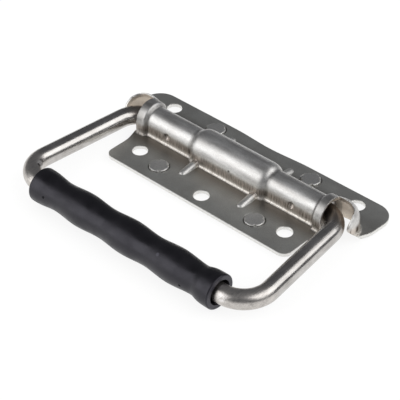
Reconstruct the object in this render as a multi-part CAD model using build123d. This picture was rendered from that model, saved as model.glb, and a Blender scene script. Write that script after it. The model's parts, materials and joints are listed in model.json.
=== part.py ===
from build123d import *
import os

# A spring-return chest handle: a bent rod bail with a grooved grip, hinged in the stamped
# barrel of a cover plate, with a flat plate clinched under it.
# Millimetres. X runs along the hinge line, the bail folds to -Y, Z stands off the wall.
# The origin is under the middle of the hinge line, on the wall face.

# Sheets
cover_t = 1.5
back_t = 1.2

# Bail rod
rod_d = 8.0
pivot_rise = 4.8            # hinge line above the flange's top face
arm_half_at_hinge = 55.6    # where the rod's centre lines cross, each side of the middle
arm_half_at_grip = 62.0
bail_reach = 63.4           # hinge line to the grip's middle line
open_angle = 85.0           # the hoods stop the bail here
hinge_bend_r = 11.0
grip_bend_r = 12.0
rod_end_gap = 4.0           # between the two ends inside the barrel
rod_end_chamfer = 0.6

# Clearances
journal_clearance = 0.3     # rod to the narrow barrel's bore
coil_rod_clearance = 0.25
coil_barrel_clearance = 0.4
hood_clearance = 0.2        # raised rod to the hood's mouth
sleeve_clearance = 0.1      # rod to the grip's bore
clinch_clearance = 0.05

# Torsion spring
wire_d = 1.3
coil_turns = 10
coil_pitch = 2.3
tang_hole_clearance = 0.15
tang_clear_r = 1.0          # the tang stops this far from the rod's centre
leg_clearance = 0.2

# Barrel, each way from the middle
wide_half = 15.5
wide_step = 5.6             # length of the taper from wide to narrow
shoulder_x = 3.6            # the taper's shoulder, from where the taper starts
shoulder_drop = 0.75
narrow_end = 44.3
collar_step = 2.2
collar_hold = 0.6
collar_end = 49.8
collar_flare = 1.65         # collar bore beyond the narrow bore
collar_lead = 1.0           # bevel inside the collar's mouth
hood_x = 53.2
hood_bore_r = 6.7
base_r = 1.4                # fillet where the barrel meets the flange
mouth_lip_rise = 0.9        # the collar's cut edge starts this high above the flange

# Hood mouth, seen from above: the bail swings up in front of mouth_y
mouth_y = 3.75
mouth_side = 59.75
mouth_corner_r = 5.4
mouth_root_r = 0.8          # where the mouth's edge meets the collar's
# Hood mouth, seen from the side: the side wall's front edge
cheek_under_y = 1.9         # at the flange's underside, top face and further up
cheek_foot_y = 0.4
cheek_nose_y = -3.6
cheek_nose_rise = 5.0
cheek_top_y = 0.2
cheek_top_rise = 9.6
cheek_foot_run = (-0.7, 0.7)    # the edge's direction at its foot and at its top
cheek_top_run = (0.75, 0.66)

# Flange outline
front_reach = 27.4
front_half = 49.0
front_corner_r = 4.0
front_side_end = 13.5       # the straight end edge stops this far in front of the hinge line
mouth_flare = 2.2           # the end edge runs out towards the mouth
mouth_flare_r = 16.0
back_reach = 22.6
lobe_past_arm = 3.6         # the lobes reach this far past the bail's arms
lobe_front_past_arm = 9.0
lobe_corner_r = 8.3
lobe_side_y = 6.0           # the lobe's side starts here, behind its slanted front corner
lobe_side_r = 8.0
lobe_front_r = 2.0
back_draw_in = 1.0          # the bulge pulls the back edge in at its middle
back_draw_half = 20.0

# Screw holes
hole_d = 6.6
hole_edge = 0.15
front_hole_half = 39.4
back_hole_half = 50.0
hole_row = 16.1             # both rows of corner holes from the hinge line
middle_hole_y = 21.2

# Clinch buttons
button_half = 26.0
button_front_y = 18.7
button_back_y = 16.4
button_r = 4.2
button_rise = 0.7
button_edge = 0.45
button_moat = 0.4           # groove that the die leaves round the button
button_moat_depth = 0.35
button_wall = 1.3           # button side wall around its pocket
button_roof = 0.8
button_notch = 1.1          # gaps left by the die's segments
button_notch_depth = 0.7
button_notch_turn = 45.0    # the gaps lie across the handle's corners
punch_wall = 0.8            # wall of the back plate's boss

# Darts
dart_x = 15.8
dart_r = 1.9
dart_root_y = 6.0
dart_root_rise = 0.6
dart_tip_y = 15.3
dart_tip_drop = 1.0

# Dimples in the narrow barrel's front wall
dimple_x = 33.8
dimple_rise = 4.1
dimple_r = 1.8
dimple_depth = 1.05

# Back plate
back_half = 33.0
back_front_y = 24.2
back_back_y = 20.8
back_corner_r = 4.0
screw_relief = 2.4          # room round the middle screw hole

# Grip
grip_half = 47.9
grip_end_r = 7.35
grip_ridge_r = 7.2
grip_valley_r = 6.4
groove_pitch = 25.0
groove_shift = 1.5          # the groove pattern sits a little to one side
end_flat = 1.5
grip_end_round = 0.6
mouth_bore_d = 10.6
mouth_bore_depth = 3.5

# Places worked out from the sizes above
rod_r = rod_d / 2
flange_under = back_t
flange_top = back_t + cover_t
axis_z = flange_top + pivot_rise
narrow_bore_r = rod_r + journal_clearance
coil_r = rod_r + coil_rod_clearance + wire_d / 2
wide_bore_r = coil_r + wire_d / 2 + coil_barrel_clearance
collar_bore_r = narrow_bore_r + collar_flare
hood_r = hood_bore_r + cover_t
top_z = axis_z + hood_r
lobe_half = arm_half_at_grip + lobe_past_arm
lobe_front_half = arm_half_at_hinge + lobe_front_past_arm
margin = 5.0
touch = 0.01                # small overlap or slack that shapes share


def both_sides(shape):
    """A shape and its mirror image across the middle of the handle."""
    return shape + mirror(shape, about=Plane.YZ)


def barrel_outline(wall):
    """Half outline of the barrel from above: x along the hinge line, y the radius outside its bore."""
    wide = wide_bore_r + wall
    narrow = narrow_bore_r + wall
    collar = collar_bore_r + wall
    hood = hood_bore_r + wall
    collar_start = narrow_end + collar_step
    level = ((1, 0), (1, 0))
    with BuildSketch() as sketch:
        with BuildLine():
            Polyline((hood_x + hood, 0), (0, 0), (0, wide), (wide_half, wide))
            Spline(
                (wide_half, wide),
                (wide_half + shoulder_x, wide - shoulder_drop),
                (wide_half + wide_step, narrow),
                tangents=level,
            )
            Line((wide_half + wide_step, narrow), (narrow_end, narrow))
            Spline((narrow_end, narrow), (collar_start, collar), tangents=level)
            Line((collar_start, collar), (collar_start + collar_hold, collar))
            Spline((collar_start + collar_hold, collar), (hood_x, hood), tangents=level)
            RadiusArc((hood_x, hood), (hood_x + hood, 0), hood)
        make_face()
    return sketch.face()


def barrel_body(wall, floor_z):
    """The barrel's solid form: round above the hinge line, upright walls below it down to floor_z."""
    outline = barrel_outline(wall)
    dome = Pos(0, 0, axis_z) * revolve(outline, axis=Axis.X, revolution_arc=180)
    plan = outline + mirror(outline, about=Plane.XZ)
    walls = extrude(Pos(0, 0, floor_z) * plan, amount=axis_z - floor_z, dir=(0, 0, 1))
    return both_sides(dome + walls)


def flange_outline():
    """The flange's outline, without the strips under the bail's two bends."""
    mouth_edge = front_half + mouth_flare
    hood_side = hood_x + hood_r + base_r / 2
    with BuildSketch() as sketch:
        with BuildLine():
            FilletPolyline(
                (0, -front_reach),
                (front_half, -front_reach),
                (front_half, -front_side_end),
                (mouth_edge, -hood_bore_r),
                (mouth_edge, cheek_foot_y),
                (hood_side, cheek_foot_y),
                (lobe_front_half, lobe_side_y),
                (lobe_half, back_reach),
                (back_draw_half, back_reach),
                radius=(front_corner_r, mouth_flare_r, 0, 0, lobe_front_r, lobe_side_r, lobe_corner_r),
            )
            Spline(
                (back_draw_half, back_reach),
                (0, back_reach - back_draw_in),
                tangents=((-1, 0), (-1, 0)),
            )
            Line((0, back_reach - back_draw_in), (0, -front_reach))
        make_face()
    half = sketch.face()
    return half + mirror(half, about=Plane.YZ)


def level_edges(shape, z):
    """Edges that lie at height z on the barrel's outline."""
    limit = hood_x + hood_r + touch
    found = ShapeList()
    for edge in shape.edges():
        box = edge.bounding_box()
        flat = abs(box.min.Z - z) < touch and abs(box.max.Z - z) < touch
        if flat and box.max.X < limit and box.min.X > -limit and box.max.Y < hood_r + touch:
            if box.min.Y > -hood_r - touch:
                found.append(edge)
    return found


def mouth_cut():
    """The opening that the bail swings up through, one at each end."""
    with BuildSketch() as sketch:
        with BuildLine():
            FilletPolyline(
                (collar_end, -front_reach),
                (collar_end, mouth_y),
                (mouth_side, mouth_y),
                (mouth_side, -front_reach),
                radius=(mouth_root_r, mouth_corner_r),
            )
            Line((mouth_side, -front_reach), (collar_end, -front_reach))
        make_face()
    height = top_z + margin - flange_top - mouth_lip_rise
    return extrude(Pos(0, 0, flange_top + mouth_lip_rise) * sketch.face(), amount=height, dir=(0, 0, 1))


def cheek_cut():
    """What lies in front of the hood's side wall, whose edge bulges forward between foot and top."""
    foot_z = flange_under
    with BuildSketch(Plane.YZ) as sketch:
        with BuildLine():
            Spline(
                (cheek_under_y, foot_z),
                (cheek_foot_y, flange_top),
                (cheek_nose_y, flange_top + cheek_nose_rise),
                (cheek_top_y, flange_top + cheek_top_rise),
                tangents=(cheek_foot_run, cheek_top_run),
            )
            Polyline(
                (cheek_top_y, flange_top + cheek_top_rise),
                (-front_reach, flange_top + cheek_top_rise),
                (-front_reach, foot_z),
                (cheek_under_y, foot_z),
            )
        make_face()
    cut = extrude(Pos(collar_end, 0, 0) * sketch.sketch, amount=lobe_half)
    flange_edge = Pos(hood_x - margin, 0, flange_under) * Box(2 * margin, 2 * front_reach, 2 * cover_t)
    return cut - flange_edge


def raised_arm():
    """Room for one arm of the bail where it stands against its hood."""
    path = FilletPolyline(
        (arm_half_at_hinge - hinge_bend_r, 0, 0),
        (arm_half_at_hinge, 0, 0),
        (arm_half_at_grip, -bail_reach, 0),
        radius=(hinge_bend_r,),
    )
    arm = sweep(Plane(origin=path @ 0, z_dir=path % 0) * Circle(rod_r + hood_clearance), path=path)
    return Pos(0, 0, axis_z) * Rot(-open_angle, 0, 0) * arm


def collar_lead_cut():
    """The bevel inside the collar's mouth, which clears the inside of the rod's bend."""
    far = collar_end + collar_lead
    with BuildSketch() as sketch:
        Polygon(
            (collar_end - collar_lead, collar_bore_r - touch),
            (far, collar_bore_r - touch),
            (far, collar_bore_r + 2 * collar_lead),
            align=None,
        )
    cone = Pos(0, 0, axis_z) * revolve(sketch.face(), axis=Axis.X, revolution_arc=360)
    front = Pos(hood_x, -front_reach / 2, axis_z) * Box(hood_x, front_reach, 4 * hood_r)
    return cone & front


def dart(side_y):
    """A stiffening dart that runs down from the barrel's wall to the flange."""
    root = Vector(dart_x, side_y * dart_root_y, flange_top + dart_root_rise)
    tip = Vector(dart_x, side_y * dart_tip_y, flange_top - dart_tip_drop)
    run = Plane(origin=root, z_dir=tip - root)
    shaft = extrude(run * Circle(dart_r), amount=(tip - root).length)
    ridge = shaft + Pos(tip) * Sphere(dart_r)
    above = Pos(dart_x, 0, flange_top + hood_r) * Box(4 * dart_r, 2 * front_reach, 2 * hood_r + cover_t)
    return ridge & above


def screw_places():
    """Centres of the five screw holes."""
    return [
        (-front_hole_half, -hole_row),
        (front_hole_half, -hole_row),
        (-back_hole_half, hole_row),
        (back_hole_half, hole_row),
        (0, -middle_hole_y),
    ]


def button_places():
    """Centres of the four clinch buttons."""
    return [(x, y) for x in (-button_half, button_half) for y in (-button_front_y, button_back_y)]


def clinch_button():
    """A clinch button's raised disc, with the gaps that the die's segments leave in its rim."""
    disc = extrude(Circle(button_r), amount=cover_t / 2 + button_rise, dir=(0, 0, 1))
    disc = fillet(disc.edges().group_by(Axis.Z)[-1], button_edge)
    for turn in range(4):
        notch = Box(2 * button_notch_depth, button_notch, 2 * button_rise)
        place = Rot(0, 0, button_notch_turn + 90 * turn) * Pos(button_r, 0, cover_t / 2 + button_rise)
        disc -= place * notch
    return Pos(0, 0, flange_top - cover_t / 2) * disc


def make_cover_plate():
    """The stamped cover plate."""
    slab_size = 2 * (lobe_half + margin)
    slab = Pos(0, 0, (flange_under + flange_top) / 2) * Box(slab_size, slab_size, cover_t)
    body = slab + barrel_body(cover_t, flange_under)
    body = fillet(level_edges(body, flange_top), base_r)
    body -= barrel_body(0, flange_under - margin)
    body = fillet(level_edges(body, flange_under), base_r + cover_t)

    outline = flange_outline()
    waste = Rectangle(slab_size + margin, slab_size + margin) - outline
    body -= extrude(Pos(0, 0, flange_under - margin) * waste, amount=margin + cover_t, dir=(0, 0, 1))
    beside_hood = Pos(hood_x + hood_r + margin, 0) * Rectangle(2 * margin, 2 * back_reach)
    body -= both_sides(extrude(Pos(0, 0, flange_top) * (waste & beside_hood), amount=base_r, dir=(0, 0, 1)))
    body -= both_sides(mouth_cut())
    body -= both_sides(cheek_cut())
    body -= both_sides(raised_arm())
    body -= both_sides(collar_lead_cut())

    for side_y in (-1, 1):
        for mirrored in (dart(side_y), mirror(dart(side_y), about=Plane.YZ)):
            body += mirrored - barrel_body(0, flange_under - margin)

    pocket_r = button_r - button_wall
    pocket_depth = cover_t + button_rise - button_roof
    for x, y in button_places():
        body -= Pos(x, y, flange_top) * Cylinder(button_r + button_moat, 2 * button_moat_depth)
        body += Pos(x, y, 0) * clinch_button()
        pocket = Cylinder(pocket_r, pocket_depth, align=(Align.CENTER, Align.CENTER, Align.MIN))
        body -= Pos(x, y, flange_under) * pocket

    for x, y in screw_places():
        body -= Pos(x, y, flange_under) * Cylinder(hole_d / 2, 4 * cover_t)
        edge_cut = Cone(hole_d / 2, hole_d / 2 + 2 * hole_edge, 2 * hole_edge)
        body -= Pos(x, y, flange_top) * edge_cut

    for side_x in (-1, 1):
        centre = Pos(
            side_x * dimple_x,
            -(narrow_bore_r + cover_t + dimple_r - dimple_depth),
            flange_top + dimple_rise,
        )
        body -= centre * Sphere(dimple_r)
    return body


def make_back_plate():
    """The flat plate clinched under the cover, which keeps the rod in the barrel."""
    length = back_front_y + back_back_y
    middle_y = (back_back_y - back_front_y) / 2
    plan = Pos(0, middle_y) * RectangleRounded(2 * back_half, length, back_corner_r)
    relief_r = hole_d / 2 + screw_relief
    plan -= Pos(0, -middle_hole_y) * Circle(relief_r)
    plan -= Pos(0, -middle_hole_y - relief_r) * Rectangle(2 * relief_r, 2 * relief_r)
    body = extrude(plan, amount=back_t, dir=(0, 0, 1))
    boss_r = button_r - button_wall - clinch_clearance
    boss_rise = cover_t + button_rise - button_roof - clinch_clearance
    for x, y in button_places():
        boss = Cylinder(boss_r, back_t + boss_rise, align=(Align.CENTER, Align.CENTER, Align.MIN))
        punch = Cylinder(
            boss_r - punch_wall,
            back_t + boss_rise - punch_wall,
            align=(Align.CENTER, Align.CENTER, Align.MIN),
        )
        body += Pos(x, y, 0) * boss
        body -= Pos(x, y, 0) * punch
    return body


def coil_half():
    """Half the coil's length, which is where its leg and its tang leave it."""
    return coil_turns * coil_pitch / 2


def wire_run(start, end):
    """A straight run of spring wire, rounded where it starts."""
    run = Plane(origin=start, z_dir=end - start)
    return extrude(run * Circle(wire_d / 2), amount=(end - start).length) + Pos(start) * Sphere(wire_d / 2)


def make_bail():
    """The bent rod, with a cross hole for the spring's tang in one end."""
    end_x = rod_end_gap / 2
    path = FilletPolyline(
        (end_x, 0, axis_z),
        (arm_half_at_hinge, 0, axis_z),
        (arm_half_at_grip, -bail_reach, axis_z),
        (-arm_half_at_grip, -bail_reach, axis_z),
        (-arm_half_at_hinge, 0, axis_z),
        (-end_x, 0, axis_z),
        radius=(hinge_bend_r, grip_bend_r, grip_bend_r, hinge_bend_r),
    )
    rod = sweep(Plane(origin=path @ 0, z_dir=path % 0) * Circle(rod_r), path=path)
    ends = [edge for edge in rod.edges() if abs(edge.center().X) < end_x + touch]
    rod = chamfer(ends, rod_end_chamfer)
    hole_r = wire_d / 2 + tang_hole_clearance
    hole = Cylinder(hole_r, 2 * rod_r, align=(Align.CENTER, Align.CENTER, Align.MAX))
    return rod - Pos(coil_half(), 0, axis_z) * hole


def make_torsion_spring():
    """The open-wound torsion spring: its tang is in the rod, and its leg bears on the back plate."""
    helix = Helix(coil_pitch, 2 * coil_half(), coil_r, lefthand=True)
    coil = sweep(Plane(origin=helix @ 0, z_dir=helix % 0) * Circle(wire_d / 2), path=helix, is_frenet=True)
    spring = Pos(-coil_half(), 0, axis_z) * Rot(0, 90, 0) * coil
    bottom = Vector(-coil_half(), 0, axis_z - coil_r)
    leg_end = Vector(-coil_half(), wide_bore_r - leg_clearance, back_t + wire_d / 2 + leg_clearance)
    tang_start = Vector(coil_half(), 0, axis_z - coil_r)
    tang_end = Vector(coil_half(), 0, axis_z - tang_clear_r)
    return spring + wire_run(bottom, leg_end) + wire_run(tang_start, tang_end)


def make_grip():
    """The moulded sleeve with four finger grooves and a wider mouth at each end."""
    flare_x = grip_half - grip_end_round - end_flat
    crests = [(-1.0 * groove_pitch, grip_ridge_r), (0, grip_ridge_r), (groove_pitch, grip_ridge_r)]
    valleys = [((i - 1.5) * groove_pitch, grip_valley_r) for i in range(4)]
    waves = sorted((x + groove_shift, r) for x, r in crests + valleys)
    points = [(-flare_x, grip_end_r)] + waves + [(flare_x, grip_end_r)]
    bore_r = rod_r + sleeve_clearance
    shoulder = grip_half - grip_end_round
    with BuildSketch() as sketch:
        with BuildLine():
            Spline(*points, tangents=((1, 0), (1, 0)))
            Line((flare_x, grip_end_r), (shoulder, grip_end_r))
            RadiusArc((shoulder, grip_end_r), (grip_half, grip_end_r - grip_end_round), grip_end_round)
            Polyline(
                (grip_half, grip_end_r - grip_end_round),
                (grip_half, mouth_bore_d / 2),
                (grip_half - mouth_bore_depth, bore_r),
                (-grip_half + mouth_bore_depth, bore_r),
                (-grip_half, mouth_bore_d / 2),
                (-grip_half, grip_end_r - grip_end_round),
            )
            RadiusArc((-grip_half, grip_end_r - grip_end_round), (-shoulder, grip_end_r), grip_end_round)
            Line((-shoulder, grip_end_r), (-flare_x, grip_end_r))
        make_face()
    sleeve = revolve(sketch.face(), axis=Axis.X, revolution_arc=360)
    return Pos(0, -bail_reach, axis_z) * sleeve


os.makedirs("parts", exist_ok=True)
nodes = {
    "cover_plate": make_cover_plate(),
    "back_plate": make_back_plate(),
    "bail": make_bail(),
    "torsion_spring": make_torsion_spring(),
    "grip": make_grip(),
}
for name, shape in nodes.items():
    export_step(shape, f"parts/{name}.step")
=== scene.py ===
"""Looks of the spring-return chest handle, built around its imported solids."""

import json
import logging
import math
from dataclasses import dataclass
from enum import Enum
from typing import Any, Iterable

import bpy
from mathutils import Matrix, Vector

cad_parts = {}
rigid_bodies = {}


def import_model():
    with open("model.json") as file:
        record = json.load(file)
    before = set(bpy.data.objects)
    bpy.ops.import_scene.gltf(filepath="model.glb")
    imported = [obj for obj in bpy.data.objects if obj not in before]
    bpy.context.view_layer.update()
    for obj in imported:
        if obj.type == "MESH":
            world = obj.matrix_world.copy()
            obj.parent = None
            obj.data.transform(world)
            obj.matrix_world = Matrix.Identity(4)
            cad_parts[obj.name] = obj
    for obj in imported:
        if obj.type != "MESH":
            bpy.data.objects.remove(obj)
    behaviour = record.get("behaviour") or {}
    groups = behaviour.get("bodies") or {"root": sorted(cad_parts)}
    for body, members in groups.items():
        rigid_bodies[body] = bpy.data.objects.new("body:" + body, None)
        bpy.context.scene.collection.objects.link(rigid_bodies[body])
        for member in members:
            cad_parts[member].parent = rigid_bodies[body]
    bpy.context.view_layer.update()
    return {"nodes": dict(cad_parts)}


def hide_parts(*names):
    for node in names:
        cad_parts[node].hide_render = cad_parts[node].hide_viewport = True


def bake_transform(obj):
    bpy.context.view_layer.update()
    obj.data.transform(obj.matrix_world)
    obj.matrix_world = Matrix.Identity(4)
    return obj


MM = 0.001
LOG = logging.getLogger("chest_handle")
Colour = tuple[float, float, float, float]
Point = tuple[float, float, float]
Span = tuple[float, float]
Socket = bpy.types.NodeSocket
Tree = bpy.types.NodeTree

# the sockets of a Mix node share their names, so they go by number, as do the two values of a Math node
SHARE = 0
VALUE_A = 2
VALUE_B = 3
COLOUR_A = 6
COLOUR_B = 7
MIXED_COLOUR = 2
COLOURS = {"data_type": "RGBA"}
SMOOTH = {"interpolation_type": "SMOOTHSTEP"}
# nearly all the values of a noise lie between these two
NOISE_RANGE = {"From Min": 0.3, "From Max": 0.7}


class Body(Enum):
    """The two rigid bodies of the handle."""

    PLATE = "plate"
    HANDLE = "handle"


def linear(code: str) -> Colour:
    """Turns an sRGB hex value into a linear colour, by the numbers of the sRGB standard.

    Args:
        code: Six hex digits, such as "8A8B8C".

    Returns:
        Linear red, green, blue and an alpha of 1.
    """
    channels = []
    for start in (0, 2, 4):
        share = int(code[start:start + 2], 16) / 255
        if share <= 0.04045:
            channels.append(share / 12.92)
        else:
            channels.append(((share + 0.055) / 1.055) ** 2.4)
    return (channels[0], channels[1], channels[2], 1.0)


def per_mm(size_mm: float) -> float:
    """Gives the texture scale at which one feature is size_mm wide.

    Args:
        size_mm: Width of one feature in millimetres.

    Returns:
        The scale for Object coordinates, which are in metres.
    """
    return 1.0 / (size_mm * MM)


def add_node(
    tree: Tree,
    kind: str,
    inputs: dict[str | int, Any] | None = None,
    out: str | int = 0,
    **settings: Any,
) -> Any:
    """Adds one node with its settings, its input values and its links.

    Args:
        tree: The node tree that gets the node.
        kind: Blender's type name of the node, without the leading "ShaderNode".
        inputs: Input values by socket name or number, where an output socket makes a link.
        out: Name or number of the output that is given back.
        **settings: Properties of the node by name.

    Returns:
        The output socket, or None where the node has none.
    """
    node = tree.nodes.new("ShaderNode" + kind)
    for name, value in settings.items():
        setattr(node, name, value)
    for name, value in (inputs or {}).items():
        socket = node.inputs[name]
        if isinstance(value, Socket):
            tree.links.new(value, socket)
        else:
            socket.default_value = value
    return node.outputs[out] if node.outputs else None


def new_material(name: str) -> tuple[bpy.types.Material, Tree]:
    """Makes an empty material.

    Args:
        name: The material's name.

    Returns:
        The material and its node tree.
    """
    material = bpy.data.materials.new(name)
    material.use_nodes = True
    material.node_tree.nodes.clear()
    return material, material.node_tree


@dataclass(frozen=True)
class RoundMark:
    """A small round mark on a surface, full in its core and faded out at its rim."""

    centre_mm: Point
    reach_mm: float
    core_share: float = 0.4

    def mask(self, tree: Tree, place: Socket) -> Socket:
        """Draws the mark.

        Args:
            tree: The node tree.
            place: The place that is read.

        Returns:
            A socket that is 1 in the mark's core and 0 beyond its reach.
        """
        centre = tuple(part * MM for part in self.centre_mm)
        away = add_node(tree, "VectorMath", {0: place, 1: centre}, "Value", operation="DISTANCE")
        return add_node(tree, "MapRange", {
            "Value": away, "From Min": self.reach_mm * MM, "From Max": self.core_share * self.reach_mm * MM,
        }, **SMOOTH)


@dataclass(frozen=True)
class SheetSpot:
    """Where each point of the sheet lies, as sockets in metres."""

    # the place itself, its distance from the handle's middle plane, how far back it is, its distance
    # from the upright plane of the hinge line, and its height over the wall face
    place: Socket
    across: Socket
    along: Socket
    away: Socket
    height: Socket


@dataclass(frozen=True)
class SheetZones:
    """Masks of the sheet's zones, each 1 in its zone and 0 outside."""

    # what stands over the flange, the barrel with its collars and hoods, what is over the bend at its
    # foot, the height of its lower walls, those walls alone, the sheared edges, and the flange beside it,
    # which gets painted shade
    raised: Socket
    barrel: Socket
    over_bend: Socket
    wall: Socket
    barrel_wall: Socket
    cut: Socket
    beside: Socket
    # the hoods past the collars, the bore with the hoods' lips, its part without painted shade, and the
    # hoods' rims
    past_collar: Socket
    inner: Socket
    bore_unshaded: Socket
    rim: Socket


@dataclass(frozen=True)
class SheetPatterns:
    """The noises that the sheet's finish is drawn with."""

    mottle: Socket
    smear: Socket
    grain: Socket
    lines: Socket


@dataclass(frozen=True)
class SheetForm:
    """The sizes of the pressed sheet that its finish follows, as its solids have them."""

    sheet_mm: float = 1.5
    flange_top_mm: float = 2.7
    axis_mm: float = 7.5
    reach_mm: float = 9.6
    throat_mm: float = 20.9
    neck_mm: float = 45.0
    collar_mm: float = 47.5
    collar_end_mm: float = 49.8
    hood_x_mm: float = 53.2
    hood_bore_mm: float = 6.7
    lip_mm: float = 0.9
    button_x_mm: float = 26.0
    button_y_mm: Span = (-18.7, 16.4)
    moat_r_mm: float = 4.4
    moat_half_mm: float = 0.28
    moat_core_share: float = 0.4
    # the painted shade beside the barrel is full inside the necks and fades to its least share just past
    # the hoods
    shade_past_hood_mm: float = 2.0
    shade_least: float = 0.3

    def read(self, tree: Tree) -> SheetSpot:
        """Reads where each point lies.

        Args:
            tree: The node tree.

        Returns:
            The place and its distances.
        """
        place = add_node(tree, "TexCoord", out="Object")
        parts = add_node(tree, "SeparateXYZ", {"Vector": place}).node.outputs
        across = add_node(tree, "Math", {0: parts["X"]}, operation="ABSOLUTE")
        away = add_node(tree, "Math", {0: parts["Y"]}, operation="ABSOLUTE")
        return SheetSpot(place, across, parts["Y"], away, parts["Z"])

    def hood_radius(self, tree: Tree, spot: SheetSpot) -> Socket:
        """Measures how far each point is from the middle line of the barrel and of its domed ends.

        Args:
            tree: The node tree.
            spot: Where each point lies.

        Returns:
            The distance's socket, in metres.
        """
        past = add_node(tree, "Math", {0: spot.across, 1: self.hood_x_mm * MM}, operation="SUBTRACT")
        beyond = add_node(tree, "Math", {0: past, 1: 0.0}, operation="MAXIMUM")
        over = add_node(tree, "Math", {0: spot.height, 1: self.axis_mm * MM}, operation="SUBTRACT")
        above = add_node(tree, "Math", {0: over, 1: 0.0}, operation="MAXIMUM")
        arm = add_node(tree, "CombineXYZ", {"X": beyond, "Y": spot.along, "Z": above})
        return add_node(tree, "VectorMath", {0: arm}, "Value", operation="LENGTH")

    def zones(self, tree: Tree, spot: SheetSpot) -> SheetZones:
        """Marks the zones of the sheet.

        Args:
            tree: The node tree.
            spot: Where each point lies.

        Returns:
            The masks.
        """
        radius = self.hood_radius(tree, spot)
        # a row has what is read, the size that its mask goes by, and how far from that the mask starts
        # and how far from it the mask is full, all in millimetres
        rows = {
            "raised": (spot.height, self.flange_top_mm, 0.05, 0.15),
            "over_bend": (spot.height, self.flange_top_mm, 1.0, 2.4),
            "cut": (spot.height, self.flange_top_mm, -0.05, -0.15),
            "low": (spot.height, self.axis_mm, 1.5, -1.5),
            "near": (spot.away, self.reach_mm, 0.0, -0.8),
            "beside": (spot.away, self.reach_mm, 8.0, -1.0),
            "behind": (spot.along, 0.0, -0.5, 0.5),
            "bore_end": (spot.across, self.collar_mm, -1.0, 0.0),
            "past_collar": (spot.across, self.collar_end_mm, 0.0, 0.1),
            "bore": (radius, self.hood_bore_mm, 0.15, 0.05),
            "lip": (radius, self.hood_bore_mm + self.lip_mm, 0.1, -0.1),
            "outward": (radius, self.hood_bore_mm + self.sheet_mm, -0.1, -0.2),
        }
        masks = {}
        for name, (value, size_mm, start_mm, full_mm) in rows.items():
            masks[name] = add_node(tree, "MapRange", {
                "Value": value, "From Min": (size_mm + start_mm) * MM, "From Max": (size_mm + full_mm) * MM,
            }, **SMOOTH)
        # painted shade on the flange beside the barrel, weaker past the necks
        within = add_node(tree, "MapRange", {
            "Value": spot.across, "From Min": (self.hood_x_mm + self.shade_past_hood_mm) * MM,
            "From Max": self.neck_mm * MM, "To Min": self.shade_least,
        }, **SMOOTH)
        beside = add_node(tree, "Math", {0: masks["beside"], 1: within}, operation="MULTIPLY")
        barrel = add_node(tree, "Math", {0: masks["raised"], 1: masks["near"]}, operation="MULTIPLY")
        wall = add_node(tree, "Math", {0: masks["low"], 1: masks["over_bend"]}, operation="MULTIPLY")
        barrel_wall = add_node(tree, "Math", {0: wall, 1: barrel}, operation="MULTIPLY")
        past_collar = masks["past_collar"]
        bore = add_node(tree, "Math", {0: masks["bore"], 1: masks["bore_end"]}, operation="MULTIPLY")
        lip = add_node(tree, "Math", {0: masks["lip"], 1: past_collar}, operation="MULTIPLY")
        inner = add_node(tree, "Math", {0: bore, 1: lip}, operation="MAXIMUM")
        bore_unshaded = add_node(tree, "Math", {0: past_collar, 1: masks["behind"]}, operation="MAXIMUM")
        rim = add_node(tree, "Math", {0: masks["outward"], 1: inner}, operation="SUBTRACT")
        rim = add_node(tree, "Math", {0: rim, 1: past_collar}, operation="MULTIPLY", use_clamp=True)
        rim = add_node(tree, "Math", {0: rim, 1: masks["over_bend"]}, operation="MULTIPLY")
        return SheetZones(
            raised=masks["raised"], barrel=barrel, over_bend=masks["over_bend"], wall=wall,
            barrel_wall=barrel_wall, cut=masks["cut"], beside=beside, past_collar=past_collar,
            inner=inner, bore_unshaded=bore_unshaded, rim=rim,
        )

    def moats(self, tree: Tree, spot: SheetSpot) -> Socket:
        """Marks the grooves round the clinch buttons, where painted shade goes.

        Args:
            tree: The node tree.
            spot: Where each point lies.

        Returns:
            A socket that is 1 in the grooves.
        """
        flat = add_node(tree, "CombineXYZ", {"X": spot.across, "Y": spot.along})
        marks = []
        for along_mm in self.button_y_mm:
            centre = (self.button_x_mm * MM, along_mm * MM, 0.0)
            away = add_node(tree, "VectorMath", {0: flat, 1: centre}, "Value", operation="DISTANCE")
            offset = add_node(tree, "Math", {0: away, 1: self.moat_r_mm * MM}, operation="SUBTRACT")
            width = add_node(tree, "Math", {0: offset}, operation="ABSOLUTE")
            marks.append(add_node(tree, "MapRange", {
                "Value": width, "From Min": self.moat_half_mm * MM,
                "From Max": self.moat_core_share * self.moat_half_mm * MM,
            }, **SMOOTH))
        return add_node(tree, "Math", {0: marks[0], 1: marks[1]}, operation="MAXIMUM")


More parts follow.
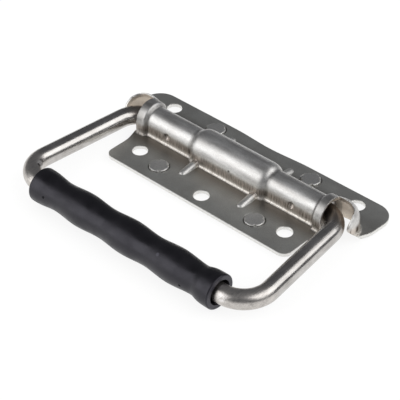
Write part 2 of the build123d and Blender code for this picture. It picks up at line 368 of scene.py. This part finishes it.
@dataclass(frozen=True)
class SatinSheet:
    """Cold-rolled stainless sheet, stamped and drawn."""

    # To the eye the rolled flange is an even, faintly warm grey, because its dull face spreads what it
    # mirrors, and beside the barrel it is painted darker as painted shade. The draw die has rubbed the
    # barrel brighter, with fine upright lines on its lower walls, which are painted dark brown as a painted
    # reflection of the flange, and the bend at the foot is painted bright as a painted highlight. The
    # insides of the hoods, which no polish reaches, stay pale and matte, the collars' bore is painted dark
    # brown in front of the rod as painted shade, and sheared edges shine. Painted shade darkens the clinch
    # grooves, the necks, the collars, the throats beside the wide middle, and the dimples, and a nick on
    # the barrel is painted dark.
    name: str = "cold_rolled_stainless"
    form: SheetForm = SheetForm()
    light: str = "D5D5D0"
    dark: str = "C8C7C2"
    # painted shade: the flange beside the barrel is painted this darker grey
    beside_shade: str = "8A8680"
    rubbed: str = "DBDAD7"
    sheared: str = "ECEBE8"
    drawn_light: str = "E8E7E5"
    drawn_dark: str = "C8C6C3"
    # painted reflection: the lower walls are painted dark brown where they mirror the flange, over their
    # real draw lines
    wall_reflection_light: str = "D6CDC4"
    wall_reflection_dark: str = "62574D"
    # painted highlight: the bend at the barrel's foot is painted bright
    bend_highlight_light: str = "ECE7E0"
    bend_highlight_dark: str = "C2BAB0"
    inside: str = "DCD2C5"
    # painted shade: the collars' bore in front of the rod is painted dark brown
    bore_shade: str = "574D44"
    # painted shade in the grooves, necks, collars, throats and dimples shares this dark colour with the
    # real nick
    shade_and_nick_tone: str = "4A453F"
    flat_roughness: float = 0.48
    drawn_roughness: float = 0.45
    wall_roughness: float = 0.48
    inside_roughness: float = 0.58
    worn_roughness: Span = (-0.03, 0.04)
    mottle_mm: float = 9.0
    smear_mm: float = 3.0
    smear_stretch: float = 0.2
    grain_mm: float = 0.45
    grain_share: float = 0.1
    line_mm: float = 0.2
    line_stretch: float = 0.03
    line_depth_mm: float = 0.02
    line_bump: float = 0.25
    score_range: Span = (0.38, 0.56)
    edge_round_mm: float = 0.6
    edge_samples: int = 6
    # painted shade: how far the dark rings at the necks and throats reach, and how dark they and the
    # collars are painted
    neck_ring_mm: Span = (1.2, 0.0)
    neck_shade: float = 0.5
    collar_shade: float = 0.4
    throat_ring_mm: Span = (1.3, 0.2)
    throat_shade: float = 0.85
    throat_top_share: float = 0.5
    shade_and_nick_share: float = 0.85
    # the dimple gets painted shade; the nick and the scuff are wear
    dimple: RoundMark = RoundMark((33.8, -5.6, 7.2), 1.2)
    nick: RoundMark = RoundMark((2.2, -7.4, 8.2), 0.7)
    scuff: RoundMark = RoundMark((3.4, 2.6, 14.4), 4.0)
    scratch_range: Span = (0.5, 0.62)
    scratch_share: float = 0.45

    def patterns(self, tree: Tree, place: Socket) -> SheetPatterns:
        """Draws the noises of the finish.

        Args:
            tree: The node tree.
            place: The place that is read.

        Returns:
            The noises.
        """
        mottle = add_node(tree, "TexNoise", {
            "Vector": place, "Scale": per_mm(self.mottle_mm), "Detail": 4.0, "Roughness": 0.6,
        })
        smeared = add_node(tree, "Mapping", {"Vector": place, "Scale": (self.smear_stretch, 1.0, 1.0)})
        smear = add_node(tree, "TexNoise", {
            "Vector": smeared, "Scale": per_mm(self.smear_mm), "Detail": 4.0, "Roughness": 0.6,
        })
        # the real grain is a few hundredths of a millimetre, too fine to show, so it is drawn coarser
        grain = add_node(tree, "TexNoise", {"Vector": place, "Scale": per_mm(self.grain_mm), "Detail": 2.0})
        # the real scores are narrower than a pixel of the render, so these are drawn wide enough to show
        drawn = add_node(tree, "Mapping", {
            "Vector": place, "Scale": (1.0, self.line_stretch, self.line_stretch),
        })
        lines = add_node(tree, "TexNoise", {
            "Vector": drawn, "Scale": per_mm(self.line_mm), "Detail": 3.0, "Roughness": 0.6,
        })
        return SheetPatterns(mottle, smear, grain, lines)

    def flange_colour(self, tree: Tree, zones: SheetZones, patterns: SheetPatterns) -> Socket:
        """Colours the flange, its edges and its pressed marks, with painted shade beside the barrel.

        Args:
            tree: The node tree.
            zones: The sheet's zones.
            patterns: The sheet's noises.

        Returns:
            The colour's socket.
        """
        cloud = add_node(tree, "MapRange", {"Value": patterns.mottle, **NOISE_RANGE}, **SMOOTH)
        colour = add_node(tree, "Mix", {
            SHARE: cloud, COLOUR_A: linear(self.dark), COLOUR_B: linear(self.light),
        }, MIXED_COLOUR, **COLOURS)
        layers = ((zones.beside, self.beside_shade), (zones.raised, self.rubbed), (zones.cut, self.sheared))
        for mask, code in layers:
            colour = add_node(tree, "Mix", {
                SHARE: mask, COLOUR_A: colour, COLOUR_B: linear(code),
            }, MIXED_COLOUR, **COLOURS)
        return colour

    def barrel_colour(self, tree: Tree, zones: SheetZones, patterns: SheetPatterns) -> Socket:
        """Colours the barrel's top, its scored walls in a painted dark reflection and the bend at its foot
        in a painted highlight.

        Args:
            tree: The node tree.
            zones: The sheet's zones.
            patterns: The sheet's noises.

        Returns:
            The colour's socket.
        """
        streaks = add_node(tree, "MapRange", {"Value": patterns.smear, **NOISE_RANGE}, **SMOOTH)
        scores = add_node(tree, "MapRange", {
            "Value": patterns.lines, "From Min": self.score_range[0], "From Max": self.score_range[1],
        }, **SMOOTH)
        tones = []
        for pattern, dark, light in (
            (streaks, self.drawn_dark, self.drawn_light),
            (scores, self.bend_highlight_dark, self.bend_highlight_light),
            (scores, self.wall_reflection_dark, self.wall_reflection_light),
        ):
            tones.append(add_node(tree, "Mix", {
                SHARE: pattern, COLOUR_A: linear(dark), COLOUR_B: linear(light),
            }, MIXED_COLOUR, **COLOURS))
        top, foot, side = tones
        colour = add_node(tree, "Mix", {
            SHARE: zones.over_bend, COLOUR_A: foot, COLOUR_B: top,
        }, MIXED_COLOUR, **COLOURS)
        return add_node(tree, "Mix", {
            SHARE: zones.wall, COLOUR_A: colour, COLOUR_B: side,
        }, MIXED_COLOUR, **COLOURS)

    def shade_and_nick(self, tree: Tree, spot: SheetSpot, zones: SheetZones) -> Socket:
        """Marks the painted shade in the grooves, necks, collars, throats and dimples, and the nick.

        Args:
            tree: The node tree.
            spot: Where each point lies.
            zones: The sheet's zones.

        Returns:
            The mask, which is shade_and_nick_share at its most.
        """
        form = self.form
        rings = []
        for ring_x_mm, (start_mm, full_mm), most in (
            (form.neck_mm, self.neck_ring_mm, self.neck_shade),
            (form.throat_mm, self.throat_ring_mm, self.throat_shade),
        ):
            off = add_node(tree, "Math", {0: spot.across, 1: ring_x_mm * MM}, operation="SUBTRACT")
            off = add_node(tree, "Math", {0: off}, operation="ABSOLUTE")
            rings.append(add_node(tree, "MapRange", {
                "Value": off, "From Min": start_mm * MM, "From Max": full_mm * MM, "To Max": most,
            }, **SMOOTH))
        neck, throat = rings
        depth = add_node(tree, "Math", {0: zones.wall, 1: self.throat_top_share}, operation="MAXIMUM")
        throat = add_node(tree, "Math", {0: throat, 1: depth}, operation="MULTIPLY")
        # painted shade that dims the collars
        collar = add_node(tree, "MapRange", {
            "Value": spot.across, "From Min": form.neck_mm * MM, "From Max": form.collar_mm * MM,
            "To Max": self.collar_shade,
        }, **SMOOTH)
        before_hood = add_node(tree, "Math", {0: 1.0, 1: zones.past_collar}, operation="SUBTRACT")
        collar = add_node(tree, "Math", {0: collar, 1: before_hood}, operation="MULTIPLY")
        shade_and_nick = add_node(tree, "Math", {0: neck, 1: collar}, operation="MAXIMUM")
        shade_and_nick = add_node(tree, "Math", {0: shade_and_nick, 1: throat}, operation="MAXIMUM")
        shade_and_nick = add_node(tree, "Math", {0: shade_and_nick, 1: zones.barrel}, operation="MULTIPLY")
        # both dimples and all four grooves are alike, so they are read on one half of the handle
        mirrored = add_node(tree, "CombineXYZ", {"X": spot.across, "Y": spot.along, "Z": spot.height})
        marks = (
            form.moats(tree, spot), self.dimple.mask(tree, mirrored), self.nick.mask(tree, spot.place),
        )
        for mark in marks:
            shade_and_nick = add_node(tree, "Math", {0: shade_and_nick, 1: mark}, operation="MAXIMUM")
        return add_node(tree, "Math", {0: shade_and_nick, 1: self.shade_and_nick_share}, operation="MULTIPLY")

    def scuffs(self, tree: Tree, spot: SheetSpot, patterns: SheetPatterns) -> Socket:
        """Marks the faint scuffs on the barrel's top.

        Args:
            tree: The node tree.
            spot: Where each point lies.
            patterns: The sheet's noises.

        Returns:
            The mask's socket.
        """
        scratches = add_node(tree, "MapRange", {
            "Value": patterns.smear, "From Min": self.scratch_range[0], "From Max": self.scratch_range[1],
            "To Max": self.scratch_share,
        }, **SMOOTH)
        patch = self.scuff.mask(tree, spot.place)
        return add_node(tree, "Math", {0: patch, 1: scratches}, operation="MULTIPLY")

    def roughness(
        self, tree: Tree, zones: SheetZones, patterns: SheetPatterns, scuffed: Socket
    ) -> Socket:
        """Sets how matte each zone is.

        Args:
            tree: The node tree.
            zones: The sheet's zones.
            patterns: The sheet's noises.
            scuffed: Where the scuffs are.

        Returns:
            The roughness's socket.
        """
        rough = self.flat_roughness
        for mask, level in (
            (zones.barrel, self.drawn_roughness),
            (zones.barrel_wall, self.wall_roughness),
            (zones.inner, self.inside_roughness),
        ):
            rough = add_node(tree, "Mix", {SHARE: mask, VALUE_A: rough, VALUE_B: level})
        wear_and_painted_light = add_node(tree, "MapRange", {
            "Value": patterns.smear, **NOISE_RANGE,
            "To Min": self.worn_roughness[0], "To Max": self.worn_roughness[1],
        })
        rough = add_node(tree, "Math", {0: rough, 1: wear_and_painted_light}, operation="ADD")
        return add_node(tree, "Mix", {SHARE: scuffed, VALUE_A: rough, VALUE_B: self.inside_roughness})

    def build(self) -> bpy.types.Material:
        """Builds the sheet's material.

        Returns:
            The finished material.
        """
        material, tree = new_material(self.name)
        spot = self.form.read(tree)
        zones = self.form.zones(tree, spot)
        patterns = self.patterns(tree, spot.place)
        scuffed = self.scuffs(tree, spot, patterns)
        # painted shade: the bore in front of the rod is painted dark brown
        bore = add_node(tree, "Mix", {
            SHARE: zones.bore_unshaded, COLOUR_A: linear(self.bore_shade), COLOUR_B: linear(self.inside),
        }, MIXED_COLOUR, **COLOURS)
        colour = self.flange_colour(tree, zones, patterns)
        for mask, over in (
            (zones.barrel, self.barrel_colour(tree, zones, patterns)),
            (zones.inner, bore),
            (zones.rim, linear(self.sheared)),
            # painted shade in the recesses and round the collars, with the real nick
            (self.shade_and_nick(tree, spot, zones), linear(self.shade_and_nick_tone)),
            (scuffed, linear(self.sheared)),
        ):
            colour = add_node(tree, "Mix", {
                SHARE: mask, COLOUR_A: colour, COLOUR_B: over,
            }, MIXED_COLOUR, **COLOURS)
        speckle = add_node(tree, "MapRange", {
            "Value": patterns.grain, **NOISE_RANGE,
            "To Min": 1.0 - self.grain_share, "To Max": 1.0 + self.grain_share,
        })
        colour = add_node(tree, "VectorMath", {0: colour, "Scale": speckle}, operation="SCALE")
        scored = add_node(tree, "Math", {0: patterns.lines, 1: zones.barrel_wall}, operation="MULTIPLY")
        softened = add_node(tree, "Bevel", {"Radius": self.edge_round_mm * MM}, samples=self.edge_samples)
        bump = add_node(tree, "Bump", {
            "Strength": self.line_bump, "Distance": self.line_depth_mm * MM, "Height": scored,
            "Normal": softened,
        })
        shader = add_node(tree, "BsdfPrincipled", {
            "Base Color": colour, "Metallic": 1.0, "Normal": bump,
            "Roughness": self.roughness(tree, zones, patterns, scuffed),
        })
        add_node(tree, "OutputMaterial", {"Surface": shader})
        return material


@dataclass(frozen=True)
class PolishedRod:
    """Bright-drawn stainless round bar, polished."""

    # To the eye it is a row of long mirror bands, softened by the drawing scratches along the bar. It is
    # browner, darker and duller towards the collars, and on the bends duller and painted paler as painted
    # light.
    name: str = "bright_drawn_stainless_bar"
    light: str = "CFCCC9"
    dark: str = "A5A19D"
    hinge_brown: str = "85776B"
    nick_brown: str = "2E2824"
    scuff_white: str = "EFECEA"
    # painted light: the bends are painted paler
    bend_painted_light: str = "D6D0CA"
    roughness: float = 0.22
    roughness_spread: Span = (-0.03, 0.05)
    hinge_roughness: float = 0.36
    bend_roughness: float = 0.34
    scuff_roughness: float = 0.44
    cloud_mm: float = 6.0
    scratch_mm: float = 0.35
    scratch_stretch: float = 0.03
    scratch_depth_mm: float = 0.01
    scratch_bump: float = 0.2
    skin_range: Span = (0.35, 0.65)
    hinge_mm: Span = (-10.0, -3.0)
    hinge_share: float = 0.8
    bend_mm: Span = (-49.0, -56.0)
    nicks: tuple[RoundMark, ...] = (
        RoundMark((-56.9, -55.1, 10.1), 1.3),
        RoundMark((-56.0, -56.0, 9.6), 1.3),
        RoundMark((-55.2, -57.8, 10.2), 1.3),
    )
    scuffs: tuple[RoundMark, ...] = (
        RoundMark((-55.6, -56.8, 9.9), 2.6),
        RoundMark((51.6, -66.6, 9.4), 2.6),
    )
    scuff_grain_mm: float = 0.5
    scuff_range: Span = (0.42, 0.52)
    nick_range: Span = (0.54, 0.46)

    def mark(
        self, tree: Tree, place: Socket, colour: Socket, rough: Socket
    ) -> tuple[Socket, Socket]:
        """Lays the scuffs and the nicks over the bar's skin.

        Args:
            tree: The node tree.
            place: The place that is read.
            colour: The skin's colour.
            rough: The skin's roughness.

        Returns:
            The colour and the roughness with the marks.
        """
        grain = add_node(tree, "TexNoise", {"Vector": place, "Scale": per_mm(self.scuff_grain_mm)})
        grains = []
        for start, full in (self.scuff_range, self.nick_range):
            grains.append(add_node(tree, "MapRange", {"Value": grain, "From Min": start, "From Max": full}))
        for scuff in self.scuffs:
            mask = scuff.mask(tree, place)
            mask = add_node(tree, "Math", {0: mask, 1: grains[0]}, operation="MULTIPLY")
            colour = add_node(tree, "Mix", {
                SHARE: mask, COLOUR_A: colour, COLOUR_B: linear(self.scuff_white),
            }, MIXED_COLOUR, **COLOURS)
            rough = add_node(tree, "Mix", {SHARE: mask, VALUE_A: rough, VALUE_B: self.scuff_roughness})
        for nick in self.nicks:
            mask = nick.mask(tree, place)
            mask = add_node(tree, "Math", {0: mask, 1: grains[1]}, operation="MULTIPLY")
            colour = add_node(tree, "Mix", {
                SHARE: mask, COLOUR_A: colour, COLOUR_B: linear(self.nick_brown),
            }, MIXED_COLOUR, **COLOURS)
        return colour, rough

    def build(self) -> bpy.types.Material:
        """Builds the bar's material.

        Returns:
            The finished material.
        """
        material, tree = new_material(self.name)
        place = add_node(tree, "TexCoord", out="Object")
        along = add_node(tree, "SeparateXYZ", {"Vector": place}, "Y")
        cloud = add_node(tree, "TexNoise", {
            "Vector": place, "Scale": per_mm(self.cloud_mm), "Detail": 4.0, "Roughness": 0.6,
        })
        # the real scratches are finer than the render can show, so they are drawn coarser
        stretched = add_node(tree, "Mapping", {"Vector": place, "Scale": (1.0, self.scratch_stretch, 1.0)})
        scratch = add_node(tree, "TexNoise", {
            "Vector": stretched, "Scale": per_mm(self.scratch_mm), "Detail": 3.0, "Roughness": 0.6,
        })
        skin = add_node(tree, "Mix", {SHARE: 0.5, VALUE_A: cloud, VALUE_B: scratch})
        skin_range = {"From Min": self.skin_range[0], "From Max": self.skin_range[1]}
        tone = add_node(tree, "MapRange", {"Value": skin, **skin_range})
        rough = add_node(tree, "MapRange", {
            "Value": skin, **skin_range, "To Min": self.roughness + self.roughness_spread[0],
            "To Max": self.roughness + self.roughness_spread[1],
        })
        hinge = add_node(tree, "MapRange", {
            "Value": along, "From Min": self.hinge_mm[0] * MM, "From Max": self.hinge_mm[1] * MM,
            "To Max": self.hinge_share,
        }, **SMOOTH)
        bend = add_node(tree, "MapRange", {
            "Value": along, "From Min": self.bend_mm[0] * MM, "From Max": self.bend_mm[1] * MM,
        }, **SMOOTH)
        # painted light: the bends are painted paler, in the bar's mottled pattern
        wear_and_painted_light = add_node(tree, "Math", {0: bend, 1: tone}, operation="MULTIPLY")
        colour = linear(self.dark)
        for mask, code in ((tone, self.light), (hinge, self.hinge_brown), (wear_and_painted_light, self.bend_painted_light)):
            colour = add_node(tree, "Mix", {
                SHARE: mask, COLOUR_A: colour, COLOUR_B: linear(code),
            }, MIXED_COLOUR, **COLOURS)
        for mask, level in ((hinge, self.hinge_roughness), (bend, self.bend_roughness)):
            rough = add_node(tree, "Mix", {SHARE: mask, VALUE_A: rough, VALUE_B: level})
        colour, rough = self.mark(tree, place, colour, rough)
        bump = add_node(tree, "Bump", {
            "Strength": self.scratch_bump, "Distance": self.scratch_depth_mm * MM, "Height": scratch,
        })
        shader = add_node(tree, "BsdfPrincipled", {
            "Base Color": colour, "Metallic": 1.0, "Roughness": rough, "Normal": bump,
        })
        add_node(tree, "OutputMaterial", {"Surface": shader})
        return material


@dataclass(frozen=True)
class SpringWire:
    """Hard-drawn stainless spring wire."""

    # To the eye it is duller and darker than the rod, with a mottled drawing skin.
    name: str = "hard_drawn_spring_wire"
    light: str = "A3A29F"
    dark: str = "858482"
    roughness: float = 0.35
    skin_mm: float = 0.6

    def build(self) -> bpy.types.Material:
        """Builds the wire's material.

        Returns:
            The finished material.
        """
        material, tree = new_material(self.name)
        place = add_node(tree, "TexCoord", out="Object")
        skin = add_node(tree, "TexNoise", {"Vector": place, "Scale": per_mm(self.skin_mm), "Detail": 3.0})
        colour = add_node(tree, "Mix", {
            SHARE: skin, COLOUR_A: linear(self.dark), COLOUR_B: linear(self.light),
        }, MIXED_COLOUR, **COLOURS)
        shader = add_node(tree, "BsdfPrincipled", {
            "Base Color": colour, "Metallic": 1.0, "Roughness": self.roughness,
        })
        add_node(tree, "OutputMaterial", {"Surface": shader})
        return material


@dataclass(frozen=True)
class MouldedGrip:
    """Moulded black PVC."""

    # To the eye it is a deep, faintly violet black with a broad soft sheen, broken by a fine moulded
    # grain and by duller, handled patches. Its ends are rubbed paler, and small voids show as holes,
    # painted black inside as painted shade.
    name: str = "moulded_black_pvc"
    light: str = "0E0D11"
    dark: str = "070708"
    pale: str = "34333A"
    # painted shade: the small voids are painted black inside
    hole_shade: str = "010101"
    sheen: str = "F3F0FF"
    roughness: float = 0.36
    roughness_spread: Span = (-0.07, 0.12)
    hole_roughness: float = 1.0
    grain_mm: float = 0.5
    grain_depth_mm: float = 0.05
    grain_bump: float = 0.4
    cloud_mm: float = 5.0
    holes: tuple[RoundMark, ...] = (
        RoundMark((-39.7, -70.1, 8.9), 0.7),
        RoundMark((33.7, -69.9, 6.7), 0.7),
    )
    hole_depth_mm: float = 0.5
    fleck: RoundMark = RoundMark((20.6, -67.8, 12.8), 1.0)
    end_mm: Span = (47.6, 47.9)
    end_share: float = 0.5

    def build(self) -> bpy.types.Material:
        """Builds the grip's material.

        Returns:
            The finished material.
        """
        material, tree = new_material(self.name)
        place = add_node(tree, "TexCoord", out="Object")
        cloud = add_node(tree, "TexNoise", {"Vector": place, "Scale": per_mm(self.cloud_mm), "Detail": 3.0})
        # the real mould grain is about a tenth of a millimetre, too fine to show, so it is drawn coarser
        grain = add_node(tree, "TexNoise", {"Vector": place, "Scale": per_mm(self.grain_mm), "Detail": 2.0})
        across = add_node(tree, "SeparateXYZ", {"Vector": place}, "X")
        across = add_node(tree, "Math", {0: across}, operation="ABSOLUTE")
        end = add_node(tree, "MapRange", {
            "Value": across, "From Min": self.end_mm[0] * MM, "From Max": self.end_mm[1] * MM,
            "To Max": self.end_share,
        })
        fleck = self.fleck.mask(tree, place)
        paled = add_node(tree, "Math", {0: fleck, 1: end}, operation="MAXIMUM")
        rough = add_node(tree, "MapRange", {
            "Value": cloud, **NOISE_RANGE, "To Min": self.roughness + self.roughness_spread[0],
            "To Max": self.roughness + self.roughness_spread[1],
        })
        bump = add_node(tree, "Bump", {
            "Strength": self.grain_bump, "Distance": self.grain_depth_mm * MM, "Height": grain,
        })
        holed = 0.0
        for hole in self.holes:
            mask = hole.mask(tree, place)
            bump = add_node(tree, "Bump", {
                "Distance": self.hole_depth_mm * MM, "Height": mask, "Normal": bump,
            }, invert=True)
            holed = add_node(tree, "Math", {0: holed, 1: mask}, operation="MAXIMUM")
        colour = linear(self.dark)
        # the voids are painted black as painted shade
        for mask, code in ((cloud, self.light), (paled, self.pale), (holed, self.hole_shade)):
            colour = add_node(tree, "Mix", {
                SHARE: mask, COLOUR_A: colour, COLOUR_B: linear(code),
            }, MIXED_COLOUR, **COLOURS)
        rough = add_node(tree, "Mix", {SHARE: holed, VALUE_A: rough, VALUE_B: self.hole_roughness})
        shader = add_node(tree, "BsdfPrincipled", {
            "Base Color": colour, "Roughness": rough, "Specular Tint": linear(self.sheen), "Normal": bump,
        })
        add_node(tree, "OutputMaterial", {"Surface": shader})
        return material


@dataclass(frozen=True)
class TableTop:
    """Matte white laminate, the table that the handle lies on."""

    # To the eye it is plain white with the handle's soft shadow on it, and it mirrors nothing.
    name: str = "matte_white_laminate"
    colour: str = "FBFBFA"
    roughness: float = 0.9
    glow: float = 0.85
    hollow_mm: Span = (45.5, 4.0)
    hollow_fade_mm: float = 2.0

    def open_floor(self, tree: Tree) -> Socket:
        """Marks the table outside the hollow right under the barrel, whose glow would show through it.

        Args:
            tree: The node tree.

        Returns:
            A socket that is 1 on the open table.
        """
        place = add_node(tree, "TexCoord", out="Object")
        parts = add_node(tree, "SeparateXYZ", {"Vector": place}).node.outputs
        sides = []
        for name, half_mm in zip(("X", "Y"), self.hollow_mm):
            away = add_node(tree, "Math", {0: parts[name]}, operation="ABSOLUTE")
            sides.append(add_node(tree, "MapRange", {
                "Value": away, "From Min": half_mm * MM, "From Max": (half_mm + self.hollow_fade_mm) * MM,
            }))
        return add_node(tree, "Math", {0: sides[0], 1: sides[1]}, operation="MAXIMUM")

    def build(self) -> bpy.types.Material:
        """Builds the table's material, which glows white to the camera and in gloss, but lights nothing.

        Returns:
            The finished material.
        """
        material, tree = new_material(self.name)
        paint = add_node(tree, "BsdfPrincipled", {
            "Base Color": linear(self.colour), "Roughness": self.roughness,
        })
        white = add_node(tree, "Emission")
        rays = add_node(tree, "LightPath").node.outputs
        seen = rays["Is Camera Ray"]
        for ray in ("Is Glossy Ray", "Is Transmission Ray"):
            seen = add_node(tree, "Math", {0: seen, 1: rays[ray]}, operation="ADD")
        open_floor = self.open_floor(tree)
        glow = add_node(tree, "Math", {0: open_floor, 1: self.glow}, operation="MULTIPLY")
        share = add_node(tree, "Math", {0: seen, 1: glow}, operation="MULTIPLY")
        both = add_node(tree, "MixShader", {0: share, 1: paint, 2: white})
        add_node(tree, "OutputMaterial", {"Surface": both})
        return material


@dataclass(frozen=True)
class DarkCloth:
    """Dark grey cotton, hung round the table."""

    # To the eye it is one even dark grey, because it hangs too far off for its weave to show in metal.
    name: str = "dark_grey_cotton"
    colour: str = "626366"

    def build(self) -> bpy.types.Material:
        """Builds the cloth's material.

        Returns:
            The finished material.
        """
        material, tree = new_material(self.name)
        shader = add_node(tree, "Emission", {"Color": linear(self.colour)})
        add_node(tree, "OutputMaterial", {"Surface": shader})
        return material


def dress(piece: bpy.types.Object, material: bpy.types.Material) -> None:
    """Gives a piece its material.

    Args:
        piece: The piece.
        material: Its finish.
    """
    piece.data.materials.clear()
    piece.data.materials.append(material)


def deselect(objects: Iterable[bpy.types.Object]) -> None:
    """Clears the selection that loading leaves.

    Args:
        objects: All the objects that may be selected.
    """
    for item in objects:
        item.select_set(False)


@dataclass
class SubAssembly:
    """A part of the handle that is finished together."""

    nodes: dict[str, bpy.types.Object]

    def dress_all(
        self, names: tuple[str, ...], material: bpy.types.Material
    ) -> list[bpy.types.Object]:
        """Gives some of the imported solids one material.

        Args:
            names: The solids' names.
            material: Their finish.

        Returns:
            The dressed solids.
        """
        pieces = [self.nodes[name] for name in names]
        for piece in pieces:
            dress(piece, material)
        return pieces


@dataclass
class Plate(SubAssembly):
    """The stamped cover and the flat plate clinched under it."""

    def build(self) -> list[bpy.types.Object]:
        """Dresses the two sheets and gives them back."""
        return self.dress_all(("cover_plate", "back_plate"), SatinSheet().build())


@dataclass
class Spring(SubAssembly):
    """The torsion spring: its leg stays with the plate, its tang goes round with the rod."""

    half_mm: float = 11.5
    merge_mm: float = 0.001
    smooth_deg: float = 40.0

    def build(self) -> list[bpy.types.Object]:
        """Copies the coil's shape into a merged, smoothed piece and hides the imported coil.

        Returns:
            The new piece.
        """
        wire = SpringWire().build()
        solid = self.dress_all(("torsion_spring",), wire)[0]
        coil = bpy.data.objects.new("winding_coil", solid.data.copy())
        bpy.context.scene.collection.objects.link(coil)
        dress(coil, wire)
        deselect(bpy.data.objects)
        coil.select_set(True)
        bpy.context.view_layer.objects.active = coil
        bpy.ops.object.mode_set(mode="EDIT")
        bpy.ops.mesh.select_all(action="SELECT")
        bpy.ops.mesh.remove_doubles(threshold=self.merge_mm * MM)
        bpy.ops.object.mode_set(mode="OBJECT")
        bpy.ops.object.shade_smooth_by_angle(angle=math.radians(self.smooth_deg))
        coil.select_set(False)
        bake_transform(coil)
        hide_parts("torsion_spring")
        return [coil]


@dataclass
class Handle(SubAssembly):
    """The bent rod and its grip."""

    def build(self) -> list[bpy.types.Object]:
        """Dresses the rod and the grip.

        Returns:
            The rod and the grip.
        """
        rod = self.dress_all(("bail",), PolishedRod().build())
        grip = self.dress_all(("grip",), MouldedGrip().build())
        return rod + grip


def toward(azimuth_deg: float, elevation_deg: float) -> Vector:
    """Gives the direction from the handle to a point in the studio.

    Args:
        azimuth_deg: 0 is in front of the handle, and 90 is on its right.
        elevation_deg: Height over the horizon.

    Returns:
        A vector of length 1.
    """
    turn = math.radians(azimuth_deg)
    rise = math.radians(elevation_deg)
    return Vector((math.sin(turn) * math.cos(rise), -math.cos(turn) * math.cos(rise), math.sin(rise)))


@dataclass(frozen=True)
class SoftBox:
    """A lamp: one soft box that faces the handle."""

    # its level is how bright its face looks, where 1 is white
    name: str
    azimuth_deg: float
    elevation_deg: float
    away_m: float
    size_m: Span
    level: float

    def build(self) -> None:
        """Adds the lamp."""
        width, height = self.size_m
        data = bpy.data.lights.new(self.name, "AREA")
        data.shape = "RECTANGLE"
        data.size = width
        data.size_y = height
        data.energy = self.level * math.pi * width * height
        lamp = bpy.data.objects.new(self.name, data)
        bpy.context.scene.collection.objects.link(lamp)
        back = toward(self.azimuth_deg, self.elevation_deg)
        lamp.location = back * self.away_m
        lamp.rotation_euler = back.to_track_quat("Z", "Y").to_euler()


@dataclass
class Studio:
    """The floor, the lamps, the surroundings that the metal shows, and the camera."""

    azimuth_deg: float = 42.56
    elevation_deg: float = 38.40
    distance_mm: float = 587.25
    target_mm: Point = (1.58, -23.74, 2.7)
    lens_mm: float = 132.08
    sensor_mm: float = 36.0
    clip_m: Span = (0.01, 50.0)
    lamps: tuple[SoftBox, ...] = (
        SoftBox("front_left_box", -32.0, 24.0, 1.4, (1.3, 1.4), 1.9),
        SoftBox("right_box", 112.0, 45.0, 1.1, (1.35, 0.85), 1.85),
    )
    floor_half_m: float = 3.0
    floor_drop_mm: float = 0.3
    cloth_away_m: float = 2.5
    cloth_segments: int = 48
    air_colour: str = "FFFFFF"
    air_level: float = 0.85

    def build_camera(self) -> None:
        """Sets the camera at the photograph's place."""
        data = bpy.data.cameras.new("camera")
        data.lens = self.lens_mm
        data.sensor_width = self.sensor_mm
        data.clip_start, data.clip_end = self.clip_m
        camera = bpy.data.objects.new("camera", data)
        bpy.context.scene.collection.objects.link(camera)
        back = toward(self.azimuth_deg, self.elevation_deg)
        camera.location = Vector(self.target_mm) * MM + back * self.distance_mm * MM
        camera.rotation_euler = back.to_track_quat("Z", "Y").to_euler()
        bpy.context.scene.camera = camera

    def build_floor(self) -> None:
        """Adds the pale floor, a little under the handle."""
        bpy.ops.mesh.primitive_plane_add(
            size=2 * self.floor_half_m, location=(0.0, 0.0, -self.floor_drop_mm * MM)
        )
        floor = bpy.context.object
        floor.name = "floor"
        dress(floor, TableTop().build())

    def build_surround(self) -> None:
        """Adds the dark cloth round and over the table, which only the metal and the grip show."""
        bpy.ops.mesh.primitive_uv_sphere_add(
            segments=self.cloth_segments, ring_count=self.cloth_segments // 2, radius=self.cloth_away_m
        )
        cloth = bpy.context.object
        cloth.name = "dark_cloth"
        bpy.ops.object.mode_set(mode="EDIT")
        bpy.ops.mesh.select_all(action="SELECT")
        bpy.ops.mesh.bisect(
            plane_co=(0.0, 0.0, -self.floor_drop_mm * MM), plane_no=(0.0, 0.0, 1.0), clear_inner=True
        )
        bpy.ops.object.mode_set(mode="OBJECT")
        cloth.visible_camera = False
        cloth.visible_diffuse = False
        cloth.visible_shadow = False
        dress(cloth, DarkCloth().build())

    def build_world(self) -> None:
        """Sets the pale air of the studio."""
        world = bpy.data.worlds.new("studio")
        bpy.context.scene.world = world
        world.use_nodes = True
        tree = world.node_tree
        tree.nodes.clear()
        air = add_node(tree, "Background", {
            "Color": linear(self.air_colour), "Strength": self.air_level,
        })
        add_node(tree, "OutputWorld", {"Surface": air})

    def build(self) -> None:
        """Builds the whole studio."""
        self.build_camera()
        self.build_world()
        self.build_floor()
        for lamp in self.lamps:
            lamp.build()
        self.build_surround()
        bpy.context.scene.view_settings.view_transform = "Standard"


def main() -> None:
    """Builds the classes in order and reports each piece."""
    logging.basicConfig(level=logging.INFO, format="%(name)s: %(message)s")
    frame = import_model()
    deselect(bpy.data.objects)
    nodes = frame["nodes"]
    for part in (Plate(nodes), Spring(nodes), Handle(nodes)):
        for piece in part.build():
            LOG.info("%s is finished in %s", piece.name, piece.active_material.name)
    Studio().build()
    LOG.info("studio is built")


if __name__ == "__main__":
    main()
